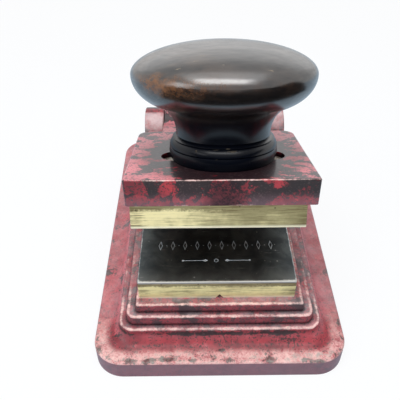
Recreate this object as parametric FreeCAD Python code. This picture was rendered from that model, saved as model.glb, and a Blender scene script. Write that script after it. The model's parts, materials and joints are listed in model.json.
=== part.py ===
import FreeCAD, Part
import math
import os

# Desk seal embosser: a stepped cast-iron base with two hinge ears, an arm that swings between them
# under a turned palm knob, and a pair of brass-backed dies that meet when the knob is pressed down.
#
# Millimetres.  +Z is up, +Y points to the hinge at the back, and the origin is the centre of the
# base's underside.  The arm is drawn closed, with its dies meeting, and is then swung open about
# the hinge pin to its rest on the stop screw.

Vector = FreeCAD.Vector
X_AXIS = Vector(1, 0, 0)
Y_AXIS = Vector(0, 1, 0)
Z_AXIS = Vector(0, 0, 1)

# --- base casting ------------------------------------------------------------------------------
base_width = 100.0
base_depth = 152.0
rim_height = 9.3
rim_corner = 12.0
rim_edge_radius = 1.0
rim_foot_radius = 0.4

# Each level of the stepped plinth: how far it stands in from the rim at the sides and at the ends,
# the height that its tread rises over the level below, and its corner radius in plan.
lower_step_side, lower_step_end = 9.9, 10.2
upper_step_side, upper_step_end = 13.2, 13.0
pad_side, pad_end = 17.1, 15.8
lower_step_rise = 6.6
upper_step_rise = 4.3
pad_rise = 3.9
lower_step_corner = 6.0
upper_step_corner = 3.6
pad_corner = 0.8
cove_radius = 5.6
arris_radius = 0.5

# Hollow underside: a shallow recess inside the rim and a deep one under the pad.
recess_wall = 8.0
recess_depth = 4.5
hollow_wall = 6.0
pad_thickness = 8.0

# --- hinge -------------------------------------------------------------------------------------
hinge_from_back = 45.5     # from the back of the rim to the pin's axis
hinge_rise = 23.1          # from the pad to the pin's axis
open_angle = 18.0          # degrees between dies meeting and the arm resting on its stop
ear_radius = 10.0
ear_thickness = 9.0
ear_foot = 15.0            # half the ear's length where it meets the pad
ear_arris = 0.8
pin_radius = 4.0
pin_recess = 0.4           # below the outer face of each ear
pin_chamfer = 0.4
bush_wall = 1.6
bush_length = 12.0
side_play = 0.3            # between the knuckle and each ear
running_fit = 0.05         # radial, pin in bush
snug = 0.02                # radial, between pieces that are screwed or pressed together
lock_screw_radius = 1.5
lock_screw_sink = 0.6      # below the crown of the ear
lock_screw_slot = 0.6

# --- arm casting -------------------------------------------------------------------------------
plate_side_overhang = 3.1  # beyond the upper die
plate_front_overhang = 0.6
plate_rear = 24.5          # from the pin's axis to the back of the plate
plate_above_pin = 5.0
plate_below_pin = 4.6
plate_draft = 0.5          # the plate is this much smaller all round at its underside
plate_front_corner = 1.0
plate_rear_corner = 6.0
plate_arris = 0.6
knuckle_radius = 9.6
neck_blend_top = 5.0
neck_blend_below = 2.5
heel_width = 18.0
heel_length = 17.0
heel_height = 9.0
heel_round = 3.0

# --- dies --------------------------------------------------------------------------------------
die_front_setback = 19.7   # from the front of the rim to the front faces of both dies
die_rear_clearance = 34.8  # from the back faces of both dies to the pin's axis
die_side_margin = 2.3      # of the pad beside a centred die
die_axis_x = -1.1          # the dies stand a little left of the base's centre line
lower_die_height = 9.3     # brass block and engraved face together
die_face_thickness = 1.0
counter_thickness = 0.4
counter_inset = 1.5
paper_gap = 0.2
die_chamfer = 0.3
notch_width = 3.0
notch_height = 2.0
key_length = 6.0
key_setback = 1.2
key_play = 0.1
key_dowel_radius = 1.0
key_dowel_length = 4.0

# --- engraving on the lower die's face: a row of ornaments over a short rule -----------------------
engraving_depth = 0.2
line_width = 0.3
rule_from_front = 11.2
rule_half_length = 13.3
rule_half_gap = 5.2        # from the middle of the rule to the inner end of each line
rule_dot_radius = 0.45
rule_lozenge_offset = 4.4
rule_lozenge_length = 2.2
rule_lozenge_width = 1.5
rule_ring_radius = 0.9
row_from_front = 19.6
row_count = 10
row_pitch = 5.0
row_lozenge_length = 5.4
row_lozenge_width = 1.7
row_dot_radius = 0.22

# --- knob --------------------------------------------------------------------------------------
knob_axis_x = 1.5          # the knob stands a little right of the plate's centre line
neck_radius = 17.6
foot_stand = 1.8           # how far the foot, bead and ring stand out from the neck where each starts
bead_stand = 2.4
ring_stand = 1.25
foot_top = 4.9             # heights above the plate
bead_top = 7.9
ring_top = 9.0
moulding_bulge = 0.1       # of a moulding's width
quirk_width = 0.5          # the sharp groove over each moulding
quirk_depth = 0.45
neck_cove_radius = 11.8
neck_flare = 6.9           # how far the neck stands out where it meets the cap
cap_radius = 33.3
cap_equator = 31.2         # height above the plate of the cap's widest circle
cap_crown = 11.2
cap_underside = 11.9
cap_flat_radius = 17.0

# --- knob fixing -------------------------------------------------------------------------------
knob_bolt_radius = 3.0
knob_bolt_head_radius = 5.2
knob_bolt_head_height = 3.2
knob_washer_radius = 6.0
knob_washer_thickness = 1.0
knob_insert_wall = 2.4
knob_insert_start = 8.0    # height above the plate
knob_insert_length = 16.0
knob_bore_runout = 3.0     # depth of the bore beyond the insert

# --- screws ------------------------------------------------------------------------------------
die_screw_radius = 2.5
die_screw_floor = 3.0      # brass left beyond the tip of a screw
die_screw_head_radius = 4.3
die_screw_head_height = 3.0
lower_die_screw_inset = 15.6  # from the side of the die to the screw's axis
upper_die_screw_inset = 12.7
counterbore_radius = 5.6
counterbore_depth = 4.6
counterbore_play = 0.7     # between the wall and the screw's head
head_play = 0.4            # around and under the knob bolt's head and washer
shank_play = 0.2           # between a screw's shank and its clearance hole
slot_width = 1.1
slot_depth = 1.2
upper_die_screw_turns = (62, -25)  # degrees that each slot is turned from the X axis
spring_screw_turns = (20, -35)
stop_screw_turn = 50

# --- return spring and stop --------------------------------------------------------------------
spring_width = 14.0
spring_thickness = 0.9
spring_bend_radius = 6.0   # of the strip's middle surface
spring_bend_setback = 10.5 # from the pin's axis forward to the bend's centre
spring_foot_length = 16.5
spring_tip_setback = 25.0  # from the pin's axis forward to the tip
spring_tip_gap = 0.2
spring_clamp_thickness = 1.4
spring_clamp_length = 13.0
spring_screw_radius = 1.5
spring_screw_spacing = 7.0
spring_screw_head_radius = 2.7
spring_screw_head_height = 1.8
stop_screw_radius = 2.5
stop_screw_head_radius = 4.5
stop_screw_head_height = 3.4
stop_screw_setback = 12.5  # from the pin's axis back to the screw
stop_gap = 0.3
stop_nut_width = 9.0
stop_nut_height = 4.0

# --- places worked out from the sizes above ------------------------------------------------------
base_front = -base_depth / 2
lower_step_top = rim_height + lower_step_rise
upper_step_top = lower_step_top + upper_step_rise
pad_top = upper_step_top + pad_rise
pad_half_width = base_width / 2 - pad_side
hollow_roof = pad_top - pad_thickness

pin_y = base_depth / 2 - hinge_from_back
pin_z = pad_top + hinge_rise
pin_centre = Vector(0, pin_y, pin_z)
ear_outer = pad_half_width
ear_inner = ear_outer - ear_thickness
knuckle_half_width = ear_inner - side_play
bush_radius = pin_radius + running_fit + bush_wall

plate_top = pin_z + plate_above_pin
plate_underside = pin_z - plate_below_pin
die_front_y = base_front + die_front_setback
die_back_y = pin_y - die_rear_clearance
die_centre_y = (die_front_y + die_back_y) / 2
die_half_width = pad_half_width - die_side_margin
lower_die_top = pad_top + lower_die_height
lower_block_top = lower_die_top - die_face_thickness
counter_face = lower_die_top + paper_gap
upper_block_bottom = counter_face + counter_thickness
knob_y = die_centre_y
counterbore_floor = plate_top - counterbore_depth
stop_y = pin_y + stop_screw_setback
heel_underside = pin_z - knuckle_radius

cut_margin = 1.0           # how far a cutting tool runs past the face that it opens
match_tolerance = 0.01     # for picking out edges by where they lie


def save(shape, name):
    """Write one named piece to its own STEP file."""
    shape.exportStep(os.path.join("parts", name + ".step"))
    solids = len(shape.Solids)
    print(f"{name}: {solids} solid(s), {shape.Volume:.0f} mm3, valid {shape.isValid()}")


def swing_open(shape):
    """Turn a piece of the closed arm up to its rest on the stop."""
    swung = shape.copy()
    swung.rotate(pin_centre, X_AXIS, -open_angle)
    return swung


def box_between(low, high):
    """Box from its lowest corner to its highest corner."""
    size = Vector(*high) - Vector(*low)
    return Part.makeBox(size.x, size.y, size.z, Vector(*low))


def upright_cylinder(radius, x, y, bottom, top):
    return Part.makeCylinder(radius, top - bottom, Vector(x, y, bottom), Z_AXIS)


def pin_line_cylinder(radius, start_x, end_x):
    """Cylinder along the hinge pin's axis."""
    return Part.makeCylinder(radius, end_x - start_x, Vector(start_x, pin_y, pin_z), X_AXIS)


def rounded_outline(half_width, front, rear, front_corner, rear_corner, z):
    """Closed wire of a rectangle in plan with rounded corners."""
    corners = [
        (Vector(half_width, front, z), front_corner, Vector(-1, 0, 0), Vector(0, 1, 0)),
        (Vector(half_width, rear, z), rear_corner, Vector(0, -1, 0), Vector(-1, 0, 0)),
        (Vector(-half_width, rear, z), rear_corner, Vector(1, 0, 0), Vector(0, -1, 0)),
        (Vector(-half_width, front, z), front_corner, Vector(0, 1, 0), Vector(1, 0, 0)),
    ]
    edges = []
    ends = []
    for corner, radius, towards_last, towards_next in corners:
        start = corner + towards_last * radius
        end = corner + towards_next * radius
        middle = corner + (towards_last + towards_next) * (radius * (1 - math.sqrt(0.5)))
        edges.append(Part.Arc(start, middle, end).toShape())
        ends.append((start, end))
    for index, (start, end) in enumerate(ends):
        next_start = ends[(index + 1) % len(ends)][0]
        edges.append(Part.LineSegment(end, next_start).toShape())
    return Part.Wire(Part.__sortEdges__(edges))


def plinth_level(side_inset, end_inset, corner, bottom, top):
    """One level of the base, set in from the rim by the given amounts."""
    half_width = base_width / 2 - side_inset
    half_depth = base_depth / 2 - end_inset
    outline = rounded_outline(half_width, -half_depth, half_depth, corner, corner, bottom)
    return Part.Face(outline).extrude(Vector(0, 0, top - bottom))


def edges_at_height(shape, z):
    """Edges that lie wholly in the horizontal plane at z."""
    return [
        edge
        for edge in shape.Edges
        if abs(edge.BoundBox.ZMin - z) < match_tolerance
        and abs(edge.BoundBox.ZMax - z) < match_tolerance
    ]


def upright_edges(block):
    """The vertical edges of a block."""
    return [edge for edge in block.Edges if edge.BoundBox.ZLength > edge.BoundBox.DiagonalLength / 2]


def cheese_head_screw(x, y, seat, tip, radius, head_radius, head_height, slot_angle=0):
    """Slotted cylinder-head screw from the seat under its head to its tip, up or down."""
    away = 1 if seat > tip else -1
    head_far = seat + away * head_height
    low, high = sorted((seat, head_far))
    head = upright_cylinder(head_radius, x, y, low, high)
    low, high = sorted((seat, tip))
    screw = head.fuse(upright_cylinder(radius, x, y, low, high)).removeSplitter()
    low, high = sorted((head_far - away * slot_depth, head_far + away * cut_margin))
    slot = box_between(
        (x - head_radius - cut_margin, y - slot_width / 2, low),
        (x + head_radius + cut_margin, y + slot_width / 2, high),
    )
    slot.rotate(Vector(x, y, 0), Z_AXIS, slot_angle)
    return screw.cut(slot)


# --- base body ---------------------------------------------------------------------------------
def ear_profile():
    """Outline of an ear in the YZ plane: a round head on tangents that spread to the pad."""
    height = pin_z - pad_top + cut_margin
    reach = math.hypot(ear_foot, height)
    tangent_angle = math.atan2(-height, ear_foot) + math.acos(ear_radius / reach)
    x = ear_inner
    back_tangent = pin_centre + Vector(
        x, ear_radius * math.cos(tangent_angle), ear_radius * math.sin(tangent_angle)
    )
    front_tangent = Vector(x, 2 * pin_y - back_tangent.y, back_tangent.z)
    crest = Vector(x, pin_y, pin_z + ear_radius)
    back_foot = Vector(x, pin_y + ear_foot, pin_z - height)
    front_foot = Vector(x, pin_y - ear_foot, pin_z - height)
    return Part.Wire([
        Part.LineSegment(back_foot, back_tangent).toShape(),
        Part.Arc(back_tangent, crest, front_tangent).toShape(),
        Part.LineSegment(front_tangent, front_foot).toShape(),
        Part.LineSegment(front_foot, back_foot).toShape(),
    ])


def hinge_ears():
    """Two ears, flush with the sides of the pad, with their round heads eased."""
    ear = Part.Face(ear_profile()).extrude(Vector(ear_thickness, 0, 0))
    above_foot = pad_top + cut_margin
    rims = [
        edge
        for edge in ear.Edges
        if edge.BoundBox.ZMax > above_foot and edge.BoundBox.XLength < match_tolerance
    ]
    ear = ear.makeFillet(ear_arris, rims)
    twin = ear.mirror(Vector(0, 0, 0), X_AXIS)
    return ear.fuse(twin)


def stepped_plinth():
    """Rim, cove, two steps and pad in one, with every arris eased."""
    rim = plinth_level(0, 0, rim_corner, 0, rim_height)
    lower_step = plinth_level(
        lower_step_side, lower_step_end, lower_step_corner, rim_height, lower_step_top
    )
    upper_step = plinth_level(
        upper_step_side, upper_step_end, upper_step_corner, lower_step_top, upper_step_top
    )
    pad = plinth_level(pad_side, pad_end, pad_corner, upper_step_top, pad_top)

    rim = rim.makeFillet(rim_edge_radius, edges_at_height(rim, rim_height))
    rim = rim.makeFillet(rim_foot_radius, edges_at_height(rim, 0))
    lower_step = lower_step.makeFillet(arris_radius, edges_at_height(lower_step, lower_step_top))
    upper_step = upper_step.makeFillet(arris_radius, edges_at_height(upper_step, upper_step_top))
    pad = pad.makeFillet(arris_radius, edges_at_height(pad, pad_top))

    shelf = rim.fuse(lower_step)
    root = [
        edge
        for edge in edges_at_height(shelf, rim_height)
        if lower_step.isInside(edge.CenterOfMass, match_tolerance, True)
    ]
    shelf = shelf.makeFillet(cove_radius, root)
    return shelf.fuse([upper_step, pad])


def underside_hollow():
    """The two recesses that leave the casting an even wall."""
    recess_half = base_width / 2 - recess_wall
    recess_end = base_depth / 2 - recess_wall
    recess = rounded_outline(
        recess_half, -recess_end, recess_end, rim_corner / 2, rim_corner / 2, -cut_margin
    )
    hollow_half = base_width / 2 - lower_step_side - hollow_wall
    hollow_end = base_depth / 2 - lower_step_end - hollow_wall
    hollow = rounded_outline(
        hollow_half, -hollow_end, hollow_end, lower_step_corner, lower_step_corner, -cut_margin
    )
    shallow = Part.Face(recess).extrude(Vector(0, 0, recess_depth + cut_margin))
    deep = Part.Face(hollow).extrude(Vector(0, 0, hollow_roof + cut_margin))
    return shallow.fuse(deep)


def threaded_holes():
    """Axis place and radius of every screw's hole through the pad."""
    holes = [(x, die_centre_y, die_screw_radius) for x in lower_die_screw_places()]
    holes += [(0, y, spring_screw_radius) for y in spring_screw_places()]
    holes.append((0, stop_y, stop_screw_radius))
    return holes


def base_casting():
    casting = stepped_plinth().fuse(hinge_ears())
    casting = casting.cut(underside_hollow())
    tools = [
        pin_line_cylinder(pin_radius + snug, -ear_outer - cut_margin, ear_outer + cut_margin),
        Part.makeCylinder(
            lock_screw_radius + snug,
            ear_radius + cut_margin,
            Vector(lock_screw_x(), pin_y, pin_z),
            Y_AXIS,
        ),
        upright_cylinder(
            key_dowel_radius + snug,
            0,
            key_centre_y(),
            pad_top - key_dowel_length - snug,
            pad_top + cut_margin,
        ),
    ]
    for x, y, radius in threaded_holes():
        tools.append(
            upright_cylinder(radius + snug, x, y, hollow_roof - cut_margin, pad_top + cut_margin)
        )
    return casting.cut(tools).removeSplitter()


def hinge_pin():
    reach = ear_outer - pin_recess
    pin = pin_line_cylinder(pin_radius, -reach, reach)
    return pin.makeChamfer(pin_chamfer, [edge for edge in pin.Edges if edge.Closed])


def lock_screw_x():
    """The lock screw sits in the middle of the right ear."""
    return ear_outer - ear_thickness / 2


def hinge_lock_screw():
    """Headless slotted screw in the back of the right ear, bearing on the pin."""
    start = pin_y + pin_radius + snug
    end = pin_y + ear_radius - lock_screw_sink
    screw = Part.makeCylinder(
        lock_screw_radius, end - start, Vector(lock_screw_x(), start, pin_z), Y_AXIS
    )
    slot = box_between(
        (lock_screw_x() - lock_screw_radius, end - slot_depth, pin_z - lock_screw_slot / 2),
        (lock_screw_x() + lock_screw_radius, end + cut_margin, pin_z + lock_screw_slot / 2),
    )
    return screw.cut(slot)


# --- lower die ---------------------------------------------------------------------------------
def die_plan(inset, bottom, top):
    """Block on the dies' shared plan, set in all round."""
    half = die_half_width - inset
    return box_between(
        (die_axis_x - half, die_front_y + inset, bottom),
        (die_axis_x + half, die_back_y - inset, top),
    )


def lower_die_screw_places():
    half = die_half_width - lower_die_screw_inset
    return [die_axis_x - half, die_axis_x + half]


def lower_screw_tip():
    return lower_block_top - die_screw_floor


def key_centre_y():
    return die_front_y + key_setback + key_length / 2


def triangular_bar(play, start_y, end_y):
    """Bar of the notch's section standing on the pad, smaller by the play on each side."""
    half_width = notch_width / 2 - play
    height = notch_height - play
    corners = [
        Vector(-half_width, start_y, pad_top),
        Vector(half_width, start_y, pad_top),
        Vector(0, start_y, pad_top + height),
    ]
    face = Part.Face(Part.makePolygon(corners + corners[:1]))
    return face.extrude(Vector(0, end_y - start_y, 0))


def lower_die_block():
    """Brass block with a V notch in its underside for the locating key."""
    block = die_plan(0, pad_top, lower_block_top)
    block = block.makeChamfer(die_chamfer, upright_edges(block))
    notch_end = key_centre_y() + key_length / 2 + key_play
    tools = [triangular_bar(0, die_front_y - cut_margin, notch_end)]
    for x in lower_die_screw_places():
        tools.append(
            upright_cylinder(
                die_screw_radius + snug,
                x,
                die_centre_y,
                pad_top - cut_margin,
                lower_screw_tip() + snug,
            )
        )
    return block.cut(tools)


def locating_key():
    """Triangular key on a dowel in the pad; the lower die's notch drops over it."""
    start = die_front_y + key_setback
    bar = triangular_bar(key_play, start, start + key_length)
    dowel = upright_cylinder(
        key_dowel_radius, 0, key_centre_y(), pad_top - key_dowel_length, pad_top + key_play
    )
    return bar.fuse(dowel).removeSplitter()


def engraved_line(start_x, end_x, y):
    return box_between(
        (start_x, y - line_width / 2, lower_die_top - engraving_depth),
        (end_x, y + line_width / 2, lower_die_top + cut_margin),
    )


def engraved_dot(x, y, radius):
    return upright_cylinder(radius, x, y, lower_die_top - engraving_depth, lower_die_top + cut_margin)


def engraved_ring(x, y, radius):
    return engraved_dot(x, y, radius).cut(engraved_dot(x, y, radius - line_width))


def engraved_lozenge(x, y, size_x, size_y):
    bottom = lower_die_top - engraving_depth
    corners = [
        Vector(x + size_x / 2, y, bottom),
        Vector(x, y + size_y / 2, bottom),
        Vector(x - size_x / 2, y, bottom),
        Vector(x, y - size_y / 2, bottom),
    ]
    face = Part.Face(Part.makePolygon(corners + corners[:1]))
    return face.extrude(Vector(0, 0, engraving_depth + cut_margin))


def lozenge_row():
    """Hollow lozenges side by side, parted by dots."""
    row_y = die_front_y + row_from_front
    row_start = die_axis_x - row_pitch * (row_count - 1) / 2
    inner_width = row_lozenge_width - 2 * line_width
    inner_length = row_lozenge_length * inner_width / row_lozenge_width
    tools = []
    for index in range(row_count):
        x = row_start + index * row_pitch
        outer = engraved_lozenge(x, row_y, row_lozenge_width, row_lozenge_length)
        tools.append(outer.cut(engraved_lozenge(x, row_y, inner_width, inner_length)))
        if index:
            tools.append(engraved_dot(x - row_pitch / 2, row_y, row_dot_radius))
    return tools


def ornamental_rule():
    """Two lines that end in dots, either side of a ring between two lozenges."""
    rule_y = die_front_y + rule_from_front
    tools = [engraved_ring(die_axis_x, rule_y, rule_ring_radius)]
    for side in (-1, 1):
        inner_end = die_axis_x + side * rule_half_gap
        outer_end = die_axis_x + side * rule_half_length
        lozenge_x = die_axis_x + side * rule_lozenge_offset
        tools.append(engraved_line(min(inner_end, outer_end), max(inner_end, outer_end), rule_y))
        tools.append(engraved_dot(outer_end, rule_y, rule_dot_radius))
        tools.append(engraved_lozenge(lozenge_x, rule_y, rule_lozenge_length, rule_lozenge_width))
    return tools


def lower_die_face():
    """Thin hard plate on top of the brass block, with its edges eased and its design cut in."""
    plate = die_plan(0, lower_block_top, lower_die_top)
    rims = upright_edges(plate) + edges_at_height(plate, lower_die_top)
    plate = plate.makeChamfer(die_chamfer, rims)
    return plate.cut(lozenge_row() + ornamental_rule())


def lower_die_screws():
    """Two screws from the hollow underside into the brass block."""
    screws = [
        cheese_head_screw(
            x,
            die_centre_y,
            hollow_roof,
            lower_screw_tip(),
            die_screw_radius,
            die_screw_head_radius,
            die_screw_head_height,
        )
        for x in lower_die_screw_places()
    ]
    return Part.makeCompound(screws)


# --- return spring and stop --------------------------------------------------------------------
def spring_bend_centre():
    y = pin_y - spring_bend_setback
    z = pad_top + spring_thickness / 2 + spring_bend_radius
    return y, z


def spring_tip():
    """Middle of the strip at its tip, just under the open arm's neck."""
    drop = plate_below_pin + spring_thickness / 2 + spring_tip_gap
    tilt = math.radians(open_angle)
    y = pin_y - spring_tip_setback * math.cos(tilt) - drop * math.sin(tilt)
    z = pin_z + spring_tip_setback * math.sin(tilt) - drop * math.cos(tilt)
    return y, z


def leaf_spring():
    """Strip bent like a hairpin: a foot on the pad, a round bend and a leg up to the arm."""
    bend_y, bend_z = spring_bend_centre()
    tip_y, tip_z = spring_tip()
    reach = math.hypot(tip_y - bend_y, tip_z - bend_z)
    touch = math.atan2(tip_z - bend_z, tip_y - bend_y) - math.acos(spring_bend_radius / reach)
    bend_middle = (touch - math.pi / 2) / 2

    def strip_surface(outward):
        """Foot end, bend start, bend middle, bend end and tip of one face of the strip."""
        radius = spring_bend_radius + outward

        def on_bend(angle):
            return Vector(0, bend_y + radius * math.cos(angle), bend_z + radius * math.sin(angle))

        bend_start = on_bend(-math.pi / 2)
        foot_end = bend_start - Vector(0, spring_foot_length, 0)
        tip = Vector(0, tip_y + outward * math.cos(touch), tip_z + outward * math.sin(touch))
        return foot_end, bend_start, on_bend(bend_middle), on_bend(touch), tip

    outer = strip_surface(spring_thickness / 2)
    inner = strip_surface(-spring_thickness / 2)
    edges = [Part.LineSegment(outer[0], inner[0]), Part.LineSegment(outer[-1], inner[-1])]
    for foot_end, bend_start, bend_mid, bend_end, tip in (outer, inner):
        edges.append(Part.LineSegment(foot_end, bend_start))
        edges.append(Part.Arc(bend_start, bend_mid, bend_end))
        edges.append(Part.LineSegment(bend_end, tip))
    section = Part.Wire(Part.__sortEdges__([edge.toShape() for edge in edges]))
    strip = Part.Face(section).extrude(Vector(spring_width, 0, 0))
    strip.translate(Vector(-spring_width / 2, 0, 0))
    above_strip = pad_top + spring_thickness + cut_margin
    holes = [
        upright_cylinder(spring_screw_radius + snug, 0, y, pad_top - cut_margin, above_strip)
        for y in spring_screw_places()
    ]
    return strip.cut(holes)


def spring_screw_places():
    middle = pin_y - spring_bend_setback - spring_foot_length / 2
    half = spring_screw_spacing / 2
    return [middle - half, middle + half]


def spring_clamp():
    """Small plate that spreads the screws' hold over the spring's foot."""
    first, last = spring_screw_places()
    middle = (first + last) / 2
    bottom = pad_top + spring_thickness
    top = bottom + spring_clamp_thickness
    clamp = box_between(
        (-spring_width / 2, middle - spring_clamp_length / 2, bottom),
        (spring_width / 2, middle + spring_clamp_length / 2, top),
    )
    clamp = clamp.makeChamfer(die_chamfer, edges_at_height(clamp, top))
    holes = [
        upright_cylinder(spring_screw_radius + snug, 0, y, bottom - cut_margin, top + cut_margin)
        for y in (first, last)
    ]
    return clamp.cut(holes)


def spring_screws():
    seat = pad_top + spring_thickness + spring_clamp_thickness
    screws = [
        cheese_head_screw(
            0,
            y,
            seat,
            hollow_roof,
            spring_screw_radius,
            spring_screw_head_radius,
            spring_screw_head_height,
            slot_angle,
        )
        for y, slot_angle in zip(spring_screw_places(), spring_screw_turns)
    ]
    return Part.makeCompound(screws)


def stop_screw():
    """Screw behind the pin whose head the arm's heel comes down on."""
    seat = heel_underside - stop_gap - stop_screw_head_height
    return cheese_head_screw(
        0,
        stop_y,
        seat,
        hollow_roof,
        stop_screw_radius,
        stop_screw_head_radius,
        stop_screw_head_height,
        stop_screw_turn,
    )


def stop_nut():
    """Hexagon nut that locks the stop screw against the pad."""
    corner_radius = stop_nut_width / math.sqrt(3)
    corners = [
        Vector(
            corner_radius * math.cos(math.radians(60 * side)),
            stop_y + corner_radius * math.sin(math.radians(60 * side)),
            pad_top,
        )
        for side in range(7)
    ]
    nut = Part.Face(Part.makePolygon(corners)).extrude(Vector(0, 0, stop_nut_height))
    above_nut = pad_top + stop_nut_height + cut_margin
    bore = upright_cylinder(stop_screw_radius + snug, 0, stop_y, pad_top - cut_margin, above_nut)
    return nut.cut(bore)


# --- arm body, drawn closed ----------------------------------------------------------------------
def knob_plate():
    """Flat plate over the dies, drawn in slightly towards its underside."""
    def outline(inset, z):
        return rounded_outline(
            die_half_width + plate_side_overhang - inset,
            die_front_y - plate_front_overhang + inset,
            pin_y - plate_rear - inset,
            plate_front_corner,
            plate_rear_corner,
            z,
        )

    plate = Part.makeLoft([outline(plate_draft, plate_underside), outline(0, plate_top)], True, True)
    return plate.makeFillet(plate_arris, edges_at_height(plate, plate_top))


def neck_and_knuckle():
    """The arm's neck, blended into the round knuckle that turns on the pin."""
    neck = box_between(
        (-knuckle_half_width, pin_y - plate_rear - plate_rear_corner, plate_underside),
        (knuckle_half_width, pin_y, plate_top),
    )
    knuckle = pin_line_cylinder(knuckle_radius, -knuckle_half_width, knuckle_half_width)
    lever = neck.fuse(knuckle).removeSplitter()
    for z, radius in ((plate_top, neck_blend_top), (plate_underside, neck_blend_below)):
        meeting_y = pin_y - math.sqrt(knuckle_radius ** 2 - (z - pin_z) ** 2)
        corner = [
            edge
            for edge in edges_at_height(lever, z)
            if edge.BoundBox.YMin > meeting_y - match_tolerance
        ]
        lever = lever.makeFillet(radius, corner)
    return lever


def heel():
    """Short tail behind the knuckle, level when the arm is open, that rests on the stop screw."""
    tail = box_between(
        (-heel_width / 2, pin_y, heel_underside),
        (heel_width / 2, pin_y + heel_length, heel_underside + heel_height),
    )
    end_y = pin_y + heel_length
    end_edges = [
        edge
        for edge in tail.Edges
        if edge.BoundBox.YMin > end_y - match_tolerance and edge.BoundBox.XLength > heel_width / 2
    ]
    return tail.makeFillet(heel_round, end_edges)


def upper_die_screw_places():
    half = die_half_width - upper_die_screw_inset
    return [knob_axis_x - half, knob_axis_x + half]


def upper_screw_tip():
    return upper_block_bottom + die_screw_floor


def knob_washer_seat():
    """Roof of the counterbore in the plate's underside, where the bolt's washer bears."""
    return plate_underside + head_play + knob_bolt_head_height + knob_washer_thickness


def arm_casting():
    closed = knob_plate().fuse(neck_and_knuckle())
    tools = [
        upright_cylinder(
            knob_bolt_radius + shank_play,
            knob_axis_x,
            knob_y,
            plate_underside - cut_margin,
            plate_top + cut_margin,
        ),
        upright_cylinder(
            knob_washer_radius + head_play,
            knob_axis_x,
            knob_y,
            plate_underside - cut_margin,
            knob_washer_seat(),
        ),
    ]
    for x in upper_die_screw_places():
        tools.append(
            upright_cylinder(counterbore_radius, x, knob_y, counterbore_floor, plate_top + cut_margin)
        )
        tools.append(
            upright_cylinder(
                die_screw_radius + shank_play, x, knob_y, plate_underside - cut_margin, plate_top
            )
        )
    casting = swing_open(closed.cut(tools)).fuse(heel())
    bore = pin_line_cylinder(
        bush_radius + snug, -knuckle_half_width - cut_margin, knuckle_half_width + cut_margin
    )
    return casting.cut(bore).removeSplitter()


def hinge_bush(side):
    """Brass bush pressed into one end of the knuckle."""
    low, high = sorted((side * knuckle_half_width, side * (knuckle_half_width - bush_length)))
    sleeve = pin_line_cylinder(bush_radius, low, high)
    bore = pin_line_cylinder(pin_radius + running_fit, low - cut_margin, high + cut_margin)
    return sleeve.cut(bore)


def upper_die_block():
    block = die_plan(0, upper_block_bottom, plate_underside)
    rims = upright_edges(block) + edges_at_height(block, upper_block_bottom)
    block = block.makeChamfer(die_chamfer, rims)
    holes = [
        upright_cylinder(
            die_screw_radius + snug,
            x,
            knob_y,
            upper_screw_tip() - snug,
            plate_underside + cut_margin,
        )
        for x in upper_die_screw_places()
    ]
    return swing_open(block.cut(holes))


def counter_pad():
    """Thin hard-card counter on the upper die, which takes the relief of the lower one."""
    return swing_open(die_plan(counter_inset, counter_face, upper_block_bottom))


def upper_die_screws():
    screws = [
        cheese_head_screw(
            x,
            knob_y,
            counterbore_floor,
            upper_screw_tip(),
            die_screw_radius,
            counterbore_radius - counterbore_play,
            die_screw_head_height,
            slot_angle,
        )
        for x, slot_angle in zip(upper_die_screw_places(), upper_die_screw_turns)
    ]
    return swing_open(Part.makeCompound(screws))


def knob_insert_radius():
    return knob_bolt_radius + snug + knob_insert_wall


def knob_section_point(radius, height):
    """Point of the knob's half section, on the turning axis at the origin."""
    return Vector(radius, 0, height)


def foot_mouldings():
    """Foot, bead and ring in the half section: bulging bands, each under a sharp groove."""
    levels = [
        (foot_stand, 0),
        (bead_stand, foot_top),
        (ring_stand, bead_top),
        (0, ring_top),
    ]
    edges = []
    start = knob_section_point(neck_radius + foot_stand, 0)
    for stand, height in levels[1:]:
        radius = neck_radius + stand
        end = knob_section_point(radius, height - quirk_width / 2)
        outward = Y_AXIS.cross(end - start) * moulding_bulge
        middle = (start + end) / 2 + outward
        floor = knob_section_point(radius - quirk_depth, height)
        next_start = knob_section_point(radius, height + quirk_width / 2)
        edges.append(Part.Arc(start, middle, end))
        edges.append(Part.LineSegment(end, floor))
        edges.append(Part.LineSegment(floor, next_start))
        start = next_start
    return edges


def knob_outline():
    """Half section of the knob: mouldings at the foot, flared neck and flattened round cap."""
    at = knob_section_point
    rim_radius = neck_radius + neck_flare
    shoulder = cap_radius - cap_flat_radius
    under_turn = math.acos((rim_radius - cap_flat_radius) / shoulder)
    rim_height_on_cap = cap_equator - cap_underside * math.sin(under_turn)

    cove_turn = math.acos(1 - neck_flare / neck_cove_radius)
    cove_bottom = rim_height_on_cap - neck_cove_radius * math.sin(cove_turn)

    def on_cove(angle):
        return at(
            neck_radius + neck_cove_radius * (1 - math.cos(angle)),
            cove_bottom + neck_cove_radius * math.sin(angle),
        )

    equator = at(cap_radius, cap_equator)
    crown = at(0, cap_equator + cap_crown)
    lower_curve = Part.Ellipse(
        equator, at(cap_flat_radius, cap_equator - cap_underside), at(cap_flat_radius, cap_equator)
    )
    upper_curve = Part.Ellipse(equator, crown, at(0, cap_equator))
    neck_bottom = at(neck_radius, ring_top + quirk_width / 2)
    edges = foot_mouldings() + [
        Part.LineSegment(at(0, 0), at(neck_radius + foot_stand, 0)),
        Part.LineSegment(neck_bottom, on_cove(0)),
        Part.Arc(on_cove(0), on_cove(cove_turn / 2), on_cove(cove_turn)),
        Part.ArcOfEllipse(lower_curve, 0, under_turn).toBSpline(),
        Part.ArcOfEllipse(upper_curve, 0, math.pi / 2).toBSpline(),
        Part.LineSegment(crown, at(0, 0)),
    ]
    return Part.Wire(Part.__sortEdges__([edge.toShape() for edge in edges]))


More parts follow.
